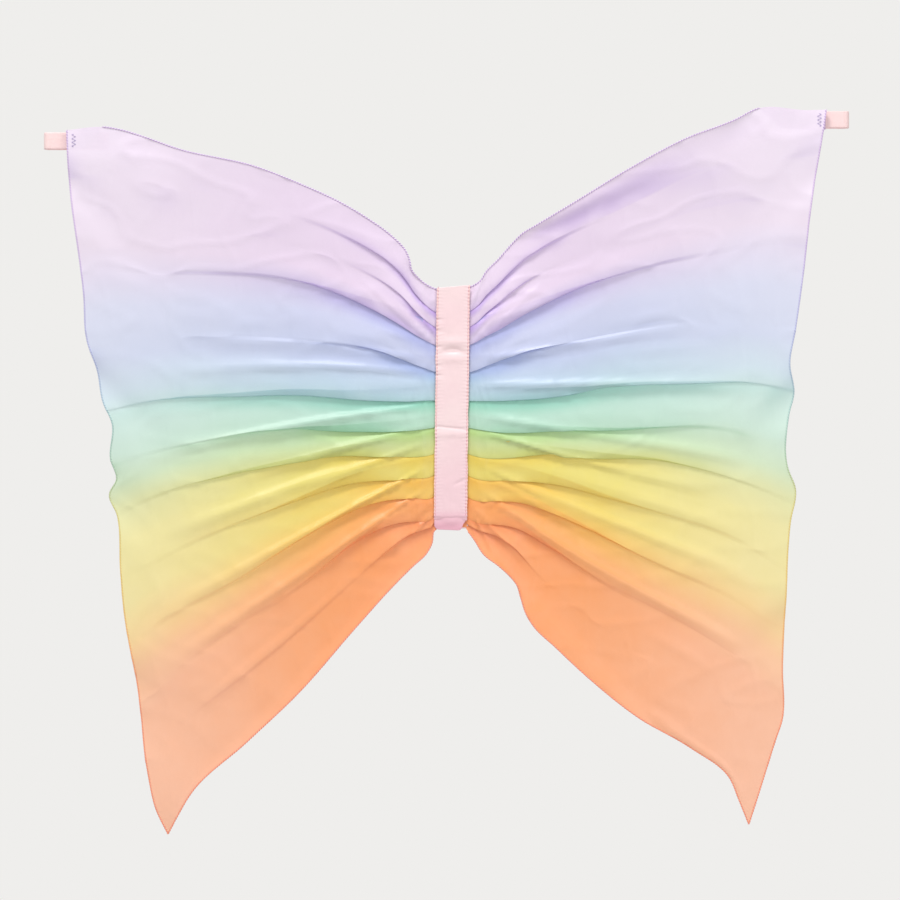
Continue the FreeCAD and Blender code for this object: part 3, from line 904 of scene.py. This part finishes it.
def make_tack(side, silk_points):
    """The zigzag of thread that sews the wrist elastic to the corner, as it shows on the front."""
    corner = OUTER_EDGE[side][0]
    q = np.linspace(0, 1, 150)
    zigzag = 2 / math.pi * np.arcsin(np.sin(q * 2 * math.pi * 3.5))
    out = corner[0] - TACK_INSET + 2.3 * zigzag
    up = corner[1] - TACK_DROP + 7.5 * (1 - 2 * q)
    y = surface_at(silk_points, out, up) - 0.15
    y = np.convolve(np.pad(y, 3, mode="edge"), np.ones(7) / 7, mode="valid")
    points, faces = tube(metres(SIDE[side] * out, y, up), 0.24 * MM, 6)
    return new_mesh(f"{side}_tack_stitches", points, faces, TACK_THREAD)


# ---- the gathered centre


def lean(z):
    """How far the front ribbon drifts sideways on its way down."""
    return -1.7 * (1 - z / RIBBON_HALF)


def dip(x, z, at_x, at_z, wide, high):
    """A soft dent centred on a point, 1 at its deepest."""
    return np.exp(-(((x - at_x) / wide) ** 2) - ((z - at_z) / high) ** 2)


def ribbon_surface(share, z):
    """X and Y of the front ribbon's face; share is -1 at its left edge and 1 at its right."""
    edge = np.abs(share) ** 6
    pucker = np.cos(2 * math.pi * z / STITCH_PITCH + 2 * waves(z / 30, share, 51))
    draw = waves(z / 16, np.sign(share) * 3, 52) * 0.5
    x = share * (RIBBON_WIDTH / 2 + (0.22 * pucker + draw) * edge) + lean(z)
    swell = 0.55 * (1 - share**4) + 0.35 * waves(share * 1.2, z / 26, 53) * (1 - share**2)
    swell += 0.16 * pucker * np.abs(share) ** 3 + 0.10 * waves(share * 4, z / 7, 54)
    for amount, slant, curve, at_share, at_z, wide, high in RIBBON_DENTS:
        line = z + slant * share + curve * share**2
        swell += amount * dip(share, line, at_share, at_z, wide, high)
    for notch in RIBBON_NOTCHES:
        swell -= 0.9 * dip(share, z, -0.95, notch, 0.32, 2.2)
    return x, RIBBON_FRONT - 0.5 - np.maximum(swell, -0.7)


def strip(share, z, x, y, turned):
    """A ribbon's points, faces, attributes and UVs from grids of its coordinates."""
    selvedge = soft_step(0.90, 0.97, np.abs(share))
    lower = soft_step(10, -120, z) * 0.7
    # turned: painted shade at the ribbon's turned-under end.
    turned = np.broadcast_to(turned, x.shape)
    uv = np.stack([share * RIBBON_WIDTH / 2, z], axis=-1).reshape(-1, 2) * MM
    return metres(x, y, z).reshape(-1, 3), grid_faces(*x.shape), (selvedge, lower, turned), uv


def ribbon_object(name, strips):
    """One satin piece from its strips, given a thickness."""
    points, faces = joined([(part[0], part[1]) for part in strips])
    layers = []
    for i, key in enumerate(("selvedge", "lower", "turned")):
        layers.append((key, np.concatenate([part[2][i].ravel() for part in strips])))
    uv = np.vstack([part[3] for part in strips])
    obj = new_mesh(name, points, faces, SATIN, layers, uv)
    thick = obj.modifiers.new("thickness", "SOLIDIFY")
    thick.thickness = SATIN_THICK * MM
    thick.offset = 0
    return obj


def ribbon_face():
    """The front ribbon down to the fold at its lower end."""
    share, z = np.meshgrid(np.linspace(-1, 1, 33), np.linspace(139.5, -127, 540), indexing="ij")
    z = z + 1.6 * share * soft_step(120, 139.5, z)
    z = z - (1.6 * share**2 + 0.6 * share) * soft_step(-112, -127, z)
    x, y = ribbon_surface(share, z)
    under = soft_step(-122, -127.5, z)
    # Painted shade on the face as it nears the turn at its lower end.
    return strip(share, z, x, y + 1.1 * under * under, 0.55 * soft_step(-114, -127, z))


def ribbon_end():
    """The front ribbon's lower end, turned under and showing below the fold, its corners rounded."""
    share, z = np.meshgrid(np.linspace(-1, 1, 25), np.linspace(-119, -140, 40), indexing="ij")
    corner = np.maximum(0, np.abs(share) - 0.72) / 0.28
    narrow = 1 - 0.10 * soft_step(-128, -140, z)
    x = share * (RIBBON_WIDTH / 2 - 1) * narrow + lean(z) - 2.2 * soft_step(-124, -140, z)
    y = -4.0 - 0.5 * waves(share * 1.5, z / 8, 57) - 0.9 * (1 - share**2) * soft_step(-141, -130, z)
    low = z + 4.0 * corner**2 * soft_step(-126, -140, z) - 0.6 * share
    # Painted shade over the turned-under end, deepest towards its bottom.
    return strip(share, low, x, y, 0.6 + 0.4 * soft_step(-126, -138, z))


def make_front_ribbon():
    """The satin ribbon over the gathers."""
    return ribbon_object("satin_front_ribbon", [ribbon_face(), ribbon_end()])


def make_back_ribbon():
    """The satin ribbon on the wearer's side, with the elastic coming out past its ends."""
    heights = np.linspace(BACK_RIBBON_HALF, -BACK_RIBBON_HALF, 400)
    share, z = np.meshgrid(np.linspace(-1, 1, 25), heights, indexing="ij")
    pucker = np.cos(2 * math.pi * z / STITCH_PITCH + 2 * waves(z / 30, share, 61))
    x = share * (RIBBON_WIDTH / 2 + 0.2 * pucker * share**6)
    y = -0.25 + 0.12 * waves(share * 1.5, z / 20, 62) * (1 - share**4) - 0.08 * pucker * share**4
    back = strip(share, z, x, y, 0.0)
    flipped = (back[0], [face[::-1] for face in back[1]], back[2], back[3])
    return ribbon_object("satin_back_ribbon", [flipped])


def make_ribbon_stitches(side):
    """A row of topstitching along one edge of both ribbons."""
    share = SIDE[side] * (1 - 2 * STITCH_INSET / RIBBON_WIDTH)
    count = int(2 * RIBBON_HALF / STITCH_PITCH)
    q = np.linspace(0, 1, 7)
    arch = np.sin(q * math.pi)
    parts = []
    for i in range(count):
        middle = (i - (count - 1) / 2) * STITCH_PITCH
        slant = 0.16 * noise.noise(Vector((i * 1.7, share, 0))) * (q - 0.5) * 4
        z = middle + (q - 0.5) * STITCH_LENGTH
        if middle > -RIBBON_HALF + 14:
            x, y = ribbon_surface(np.full(7, share), z)
            parts.append(tube(metres(x + slant, y - 0.3 * arch, z), 0.23 * MM, 6))
        if abs(middle) < BACK_RIBBON_HALF - 2:
            x = share * RIBBON_WIDTH / 2 - slant
            parts.append(tube(metres(x, -0.15 + 0.25 * arch, z), 0.2 * MM, 6))
    points, faces = joined(parts)
    return new_mesh(f"{side}_topstitching", points, faces, RIBBON_THREAD)


def make_gathers():
    """The silk between the ribbons: the same pleats, carried straight across."""
    silk, drop, relief, doubling_and_shade = (np.array(a) for a in pleated_column(0, GATHERED_HEIGHT, 0))
    z = GATHERS_TOP - drop / drop[-1] * GATHERS_TALL
    y = SILK_BACK - 0.2 - relief * 0.9
    y = np.where(np.abs(z) > 108, np.minimum(y, -2.0), y)
    across = np.linspace(-ROOT_OUT - 0.5, ROOT_OUT + 0.5, 9)
    x = np.repeat(across[:, None], len(z), axis=1)
    height = np.broadcast_to(silk / SILK_HEIGHT, x.shape)
    uv = np.stack([x * MM, height * SILK_HEIGHT * MM], axis=-1)
    layers = [("dye", height), ("doubling_and_shade", np.broadcast_to(doubling_and_shade, x.shape))]
    return new_mesh("silk_gathers", metres(x, y, z), grid_faces(*x.shape, flip=True), SILK, layers, uv)


# ---- the elastic loops


def band_section(width):
    """A ribbed elastic cut across: distances along its width and through it, round its outline."""
    w = np.linspace(-1, 1, 41)
    rib = 0.5 + 0.5 * np.cos(w * width / 2 / RIB_PITCH * 2 * math.pi)
    half = ELASTIC / 2 * (0.82 + 0.18 * rib) * (1 - 0.55 * np.abs(w) ** 14)
    return np.concatenate([w, w[::-1]]) * width / 2, np.concatenate([half, -half[::-1]])


def band(name, path, wide, width, closed):
    """A ribbed knitted elastic along a path in mm; wide is the direction of its width."""
    path = np.asarray(path, float)
    if closed:
        ahead = np.roll(path, -1, axis=0) - np.roll(path, 1, axis=0)
    else:
        ahead = np.gradient(path, axis=0)
    ahead /= np.linalg.norm(ahead, axis=1)[:, None]
    wide = np.array(wide, float)
    normal = np.cross(ahead, wide)
    along, through = band_section(width)
    run = run_along(path)
    wander = waves(run / 14, run * 0, 71)[:, None] * 0.12
    scale = 1 + 0.012 * waves(run / 5, run * 0 + 4, 72)[:, None]
    points = path[:, None] + (along * scale)[..., None] * wide
    points = points + (through + wander)[..., None] * normal[:, None]
    count, around = points.shape[:2]
    faces = grid_faces(count, around, closed=True, looped=closed)
    if not closed:
        faces += end_faces(count, around)
    uv = np.stack(np.broadcast_arrays(run[:, None], along[None, :]), axis=-1) * MM
    return new_mesh(name, points * MM, faces, KNIT, (), uv)


def make_wrist_loop(side):
    """A loop of elastic lying almost flat behind the wing's corner."""
    low, high = (np.array(corner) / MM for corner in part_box(f"{side}_wrist_loop"))
    middle = (low + high) / 2
    radius = (high[1] - low[1] - ELASTIC) / 2
    half = (high[0] - low[0] - ELASTIC) / 2 - radius
    turn = np.linspace(-math.pi / 2, math.pi / 2, 40)
    across = np.linspace(-1, 1, 60)[1:-1] * half
    right = np.stack([half + radius * np.cos(turn), radius * np.sin(turn)], axis=1)
    over = np.stack([across[::-1], np.full(len(across), radius)], axis=1)
    flat = np.vstack([right, over, -right, -over])
    squeeze = 1 - 0.10 * np.cos(flat[:, 0] / half * 1.4) * (np.abs(flat[:, 0]) < half)
    x = middle[0] + flat[:, 0]
    y = middle[1] + flat[:, 1] * squeeze
    path = np.stack([x, y, np.full(len(x), middle[2])], axis=1)
    return band(f"{side}_wrist_elastic", path, (0, 0, 1), high[2] - low[2], True)


def make_shoulder_loop(side):
    """A shoulder elastic, from one sewn end under the back ribbon to the other."""
    low, high = (np.array(corner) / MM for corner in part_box(f"{side}_shoulder_strap"))
    exit_y = low[1] + ELASTIC / 2
    bend = STRAP_BEND
    bend_y = exit_y + bend
    bend_z = BACK_RIBBON_HALF + STRAP_GAP
    furthest = high[1] - ELASTIC / 2 - bend
    arc_y = (furthest**2 - bend_y**2 - bend_z**2) / (2 * (furthest - bend_y))
    reach = furthest + bend - arc_y
    lean_angle = math.atan2(bend_z, bend_y - arc_y)
    tail = np.linspace(BACK_RIBBON_HALF - TAIL_LENGTH, bend_z, 24)[:-1]
    turn = np.linspace(math.pi, lean_angle, 24)[:-1]
    arc = np.linspace(lean_angle, 0, 120)
    y = np.concatenate([tail * 0 + exit_y, bend_y + bend * np.cos(turn), arc_y + reach * np.cos(arc)])
    z = np.concatenate([tail, bend_z + bend * np.sin(turn), reach * np.sin(arc)])
    y = np.concatenate([y, y[-2::-1]])
    z = np.concatenate([z, -z[-2::-1]])
    x = np.full(len(y), (low[0] + high[0]) / 2)
    path = np.stack([x, y, z], axis=1)
    return band(f"{side}_shoulder_elastic", path, (1, 0, 0), high[0] - low[0], False)


# ---- putting it together


def declare(piece, slot, body, *nodes):
    """Attaches a piece to the body it moves with and hides the CAD nodes it stands for; slot, what the
    piece is made of, is not used. A piece with no body here is not attached to one."""
    if body:
        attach(piece, body)
    if nodes:
        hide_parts(*nodes)


def add_wing(side):
    """One wing's silk, hems, corner and wrist elastic."""
    silk, hems, points, fold_column = make_wing(side)
    declare(silk, "silk", None, f"{side}_wing_silk")
    for hem, edge in zip(hems, ("top", "outer", "bottom")):
        declare(hem, "hem_thread", None, f"{side}_{edge}_hem")
        bend_at_ribbon(hem)
    bend_at_ribbon(silk)
    facing, facing_hem = make_facing(side, points, fold_column)
    declare(facing, "silk", f"{side}_wing", f"{side}_corner_facing")
    declare(facing_hem, "hem_thread", f"{side}_wing")
    declare(make_tack(side, points), "sewing_thread", f"{side}_wing", f"{side}_wrist_tack")
    declare(make_wrist_loop(side), "elastic", f"{side}_cuff", f"{side}_wrist_loop")


def add_centre():
    """The ribbons, the gathers between them and the shoulder elastics."""
    front, back, gathers = make_front_ribbon(), make_back_ribbon(), make_gathers()
    declare(front, "satin_ribbon", "spine", "front_ribbon")
    declare(back, "satin_ribbon", "spine", "back_ribbon")
    declare(gathers, "silk", "spine", "gathered_silk")
    for side in SIDE:
        stitches, strap = make_ribbon_stitches(side), make_shoulder_loop(side)
        declare(stitches, "sewing_thread", "spine", f"{side}_ribbon_stitches")
        declare(strap, "elastic", None, f"{side}_shoulder_strap", f"{side}_strap_tails")
        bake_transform(strap)
    for node in ("gathering_threads", "strap_tacks"):
        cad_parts[node].data.materials.clear()
        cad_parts[node].data.materials.append(WHITE_THREAD)


add_centre()
for side in SIDE:
    add_wing(side)


# ---- stage, light and camera


def make_world():
    """Soft white light from all round, with a plain pale background."""
    n = Nodes("studio", bpy.data.worlds)
    lit = n.add("ShaderNodeBackground", Color=(1.0, 0.995, 0.985, 1), Strength=0.61).outputs[0]
    seen = n.add("ShaderNodeBackground", Color=srgb("EFEEEC")).outputs[0]
    straight = n.add("ShaderNodeLightPath").outputs["Is Camera Ray"]
    mixed = n.add("ShaderNodeMixShader", _0=straight, _1=lit, _2=seen).outputs[0]
    bpy.context.scene.world = n.finish(mixed, "ShaderNodeOutputWorld")


def add_light(name, place, size, power):
    """A soft area light that faces the middle of the wings: metres and watts."""
    light = bpy.data.lights.new(name, "AREA")
    light.shape = "DISK"
    light.size = size
    light.energy = power
    obj = new_object(name, light)
    obj.location = place
    obj.rotation_euler = (Vector((0, 0, -0.05)) - Vector(place)).to_track_quat("-Z", "Y").to_euler()


def make_floor():
    """A plain pale disc under the wings, just out of the main view."""
    n = Nodes("floor")
    colour = n.ramp(n.noise(n.place(), 3.0), [(0.3, "DFDEDC"), (0.7, "E3E2E0")])
    material = n.finish(n.surface(Base_Color=colour, Roughness=0.9))
    angles = np.linspace(0, 2 * math.pi, 96, endpoint=False)
    points = [(FLOOR_RADIUS * math.cos(a), FLOOR_RADIUS * math.sin(a), FLOOR_LEVEL) for a in angles]
    new_mesh("floor", points, [tuple(range(96))], material)


def make_camera():
    """A long lens straight in front, so that the wings fill the frame."""
    camera = bpy.data.cameras.new("camera")
    camera.sensor_width = 36
    camera.lens = camera.sensor_width * VIEW_DISTANCE / VIEW_WIDTH
    obj = new_object("camera", camera)
    obj.location = (-0.0038, -VIEW_DISTANCE - 0.004, -0.0482)
    obj.rotation_euler = (math.pi / 2, 0, 0)
    bpy.context.scene.camera = obj


bpy.context.scene.view_settings.view_transform = "Standard"
make_world()
add_light("key", (-0.6, -1.2, 2.6), 0.9, 58)
add_light("fill", (1.8, -2.2, 0.4), 1.6, 15)
add_light("rear", (0.4, 2.4, 1.4), 1.6, 22)
make_floor()
make_camera()
